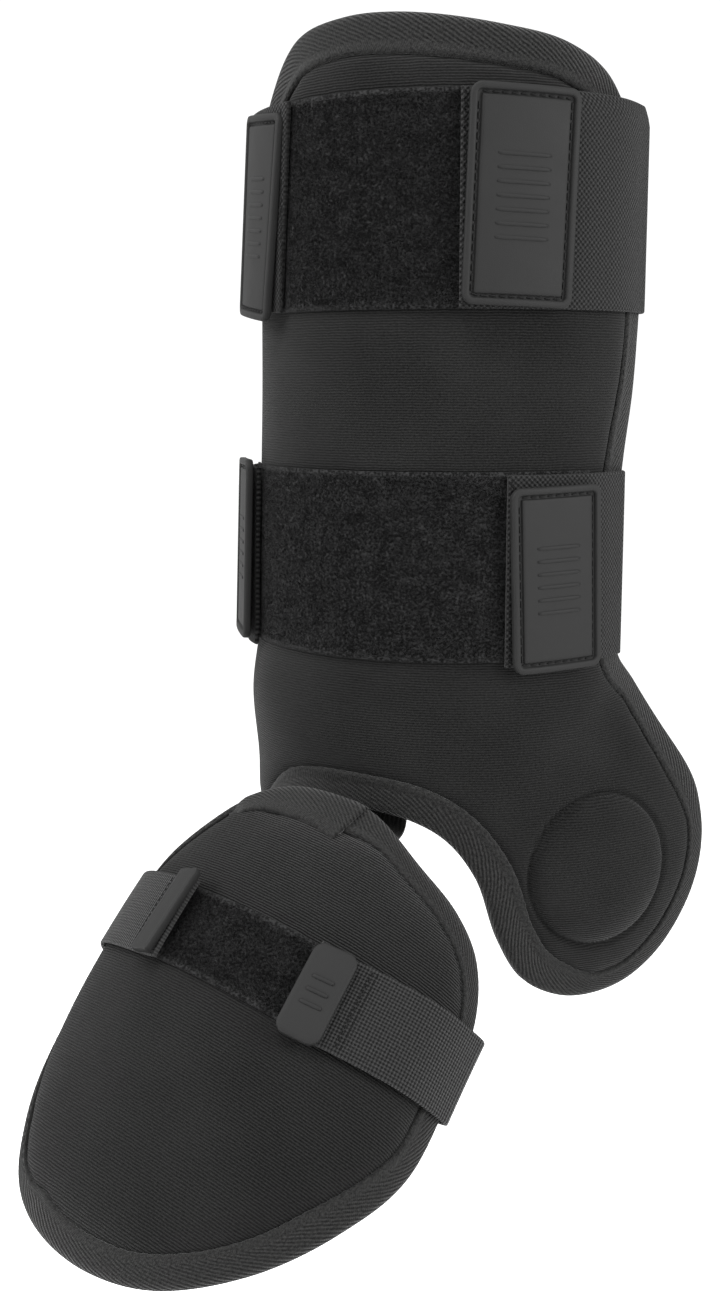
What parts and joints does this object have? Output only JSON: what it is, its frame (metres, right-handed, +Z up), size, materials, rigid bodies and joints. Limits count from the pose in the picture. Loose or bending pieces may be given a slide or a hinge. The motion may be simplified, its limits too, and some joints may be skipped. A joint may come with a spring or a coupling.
{
  "type": "leg guard",
  "caption": "Padded batter's leg guard: curved shin pad with an ankle lobe, taped edges and elastic straps with rubber pull tabs, and an arched foot pad hung below it.",
  "frame": {"origin": "on the leg's axis, level with the centre of the ankle cushion", "axes": "+Z up the shin, -Y to the front, +X to the side of the ankle lobe"},
  "size_m": [0.2135, 0.2375, 0.4062],
  "materials": {
    "knit": "matte ribbed knit over foam",
    "tape": "matte twill",
    "loop_pile": "napped loop pile",
    "elastic": "woven elastic",
    "webbing": "woven webbing",
    "rubber": "satin moulded rubber"
  },
  "bodies": {
    "root": {"shin_pad": "knit", "shin_binding": "tape", "ankle_pad": "knit", "upper_loop_patch": "loop_pile", "lower_loop_patch": "loop_pile", "upper_strap": "elastic", "lower_strap": "elastic", "upper_tab_right": "rubber", "upper_tab_left": "rubber", "lower_tab_right": "rubber", "lower_tab_left": "rubber", "hinge_webbing": "webbing", "foot_pad": "knit", "foot_binding": "tape", "foot_loop_patch": "loop_pile", "foot_strap": "elastic", "foot_tab_right": "rubber", "foot_tab_left": "rubber"}
  },
  "joints": []
}
